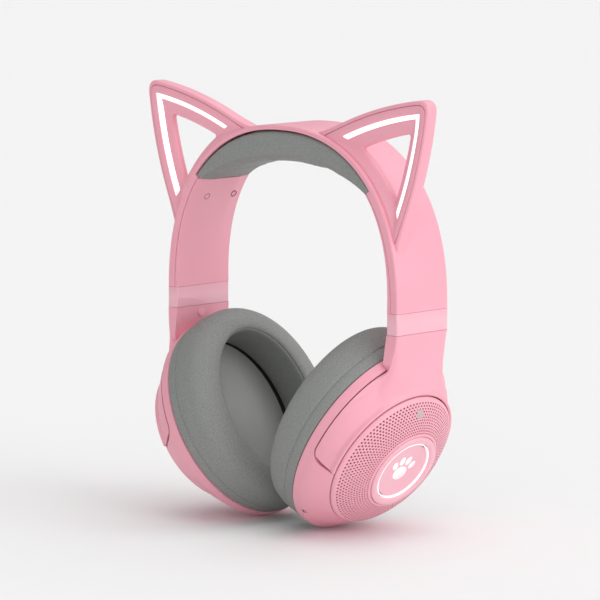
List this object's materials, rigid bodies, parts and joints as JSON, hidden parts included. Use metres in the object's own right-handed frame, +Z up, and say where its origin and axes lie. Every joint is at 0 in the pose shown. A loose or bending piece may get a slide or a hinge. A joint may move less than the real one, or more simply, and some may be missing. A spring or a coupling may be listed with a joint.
{
  "type": "gaming headset",
  "caption": "over-ear headset with a sprung padded band, lit cat ears, extending sliders and tilting cups with soft cushions",
  "frame": {"origin": "underside of the head pad, in the middle of the crown, where the headset rests on a head", "axes": "+Z up, +X to the wearer's left, -Y to the wearer's front"},
  "size_m": [0.192, 0.0908, 0.2193],
  "materials": {
    "pink_shell": "satin pink moulded plastic",
    "pink_gloss": "polished pink plastic",
    "grille_pink": "satin pink perforated plastic",
    "ear_leatherette": "soft grey leatherette over foam",
    "pad_fabric": "soft grey leatherette over foam",
    "scrim_cloth": "grey acoustic cloth",
    "light_diffuser": "white translucent light guide",
    "spring_steel": "brushed spring steel",
    "black_plastic": "black moulded plastic",
    "circuit_board": "green circuit board"
  },
  "bodies": {
    "headband": {"ear_bezel_left": "pink_shell", "ear_bezel_right": "pink_shell", "ear_diffuser_left": "light_diffuser", "ear_diffuser_right": "light_diffuser", "ear_light_board_left": "circuit_board", "ear_light_board_right": "circuit_board", "ear_shell_left": "pink_shell", "ear_shell_right": "pink_shell", "headband_inner_cover_left": "pink_shell", "headband_inner_cover_right": "pink_shell", "headband_outer_shell": "pink_shell", "headband_pad": "pad_fabric", "headband_pad_plate": "black_plastic", "headband_spring_band": "spring_steel", "slider_guide_left": "black_plastic", "slider_guide_right": "black_plastic"},
    "slider_left": {"slider_collar_left": "pink_gloss", "slider_rail_left": "spring_steel", "slider_screw_left": "spring_steel", "yoke_left": "pink_shell"},
    "cup_left": {"cup_housing_left": "pink_shell", "ear_cushion_left": "ear_leatherette", "driver_baffle_left": "black_plastic", "ear_scrim_left": "scrim_cloth", "driver_left": "black_plastic", "grille_left": "grille_pink", "light_ring_left": "light_diffuser", "badge_lens_left": "pink_gloss", "pivot_pin_front_left": "spring_steel", "pivot_pin_rear_left": "spring_steel", "usb_socket": "spring_steel", "microphone": "spring_steel", "main_circuit_board": "circuit_board"},
    "slider_right": {"slider_collar_right": "pink_gloss", "slider_rail_right": "spring_steel", "slider_screw_right": "spring_steel", "yoke_right": "pink_shell"},
    "cup_right": {"cup_housing_right": "pink_shell", "ear_cushion_right": "ear_leatherette", "driver_baffle_right": "black_plastic", "ear_scrim_right": "scrim_cloth", "driver_right": "black_plastic", "grille_right": "grille_pink", "light_ring_right": "light_diffuser", "badge_lens_right": "pink_gloss", "pivot_pin_front_right": "spring_steel", "pivot_pin_rear_right": "spring_steel", "battery": "black_plastic"},
    "power_button": {"power_button": "pink_gloss"},
    "volume_down_button": {"volume_down_button": "pink_gloss"},
    "volume_up_button": {"volume_up_button": "pink_gloss"}
  },
  "joints": [
    {"name": "slider_left_extend", "type": "slide", "parent": "headband", "child": "slider_left", "axis": [0.0822, 0, -0.9966], "range_m": [0, 0.016]},
    {"name": "cup_left_tilt", "type": "hinge", "parent": "slider_left", "child": "cup_left", "pos_m": [0.05556, -0.00121, -0.13937], "axis": [0.0311, -0.998, 0.0545], "range_deg": [0, 9]},
    {"name": "slider_right_extend", "type": "slide", "parent": "headband", "child": "slider_right", "axis": [-0.0822, 0, -0.9966], "range_m": [0, 0.016]},
    {"name": "cup_right_tilt", "type": "hinge", "parent": "slider_right", "child": "cup_right", "pos_m": [-0.05556, -0.00121, -0.13937], "axis": [0.0311, 0.998, -0.0545], "range_deg": [0, 9]},
    {"name": "power_button_press", "type": "slide", "parent": "cup_left", "child": "power_button", "axis": [0.3729, -0.6592, 0.653], "range_m": [0, 0.0006], "stiffness_N_per_m": 900},
    {"name": "volume_down_button_press", "type": "slide", "parent": "cup_left", "child": "volume_down_button", "axis": [0.2782, -0.8278, 0.4872], "range_m": [0, 0.0006], "stiffness_N_per_m": 900},
    {"name": "volume_up_button_press", "type": "slide", "parent": "cup_left", "child": "volume_up_button", "axis": [0.1798, -0.932, 0.3147], "range_m": [0, 0.0006], "stiffness_N_per_m": 900}
  ]
}
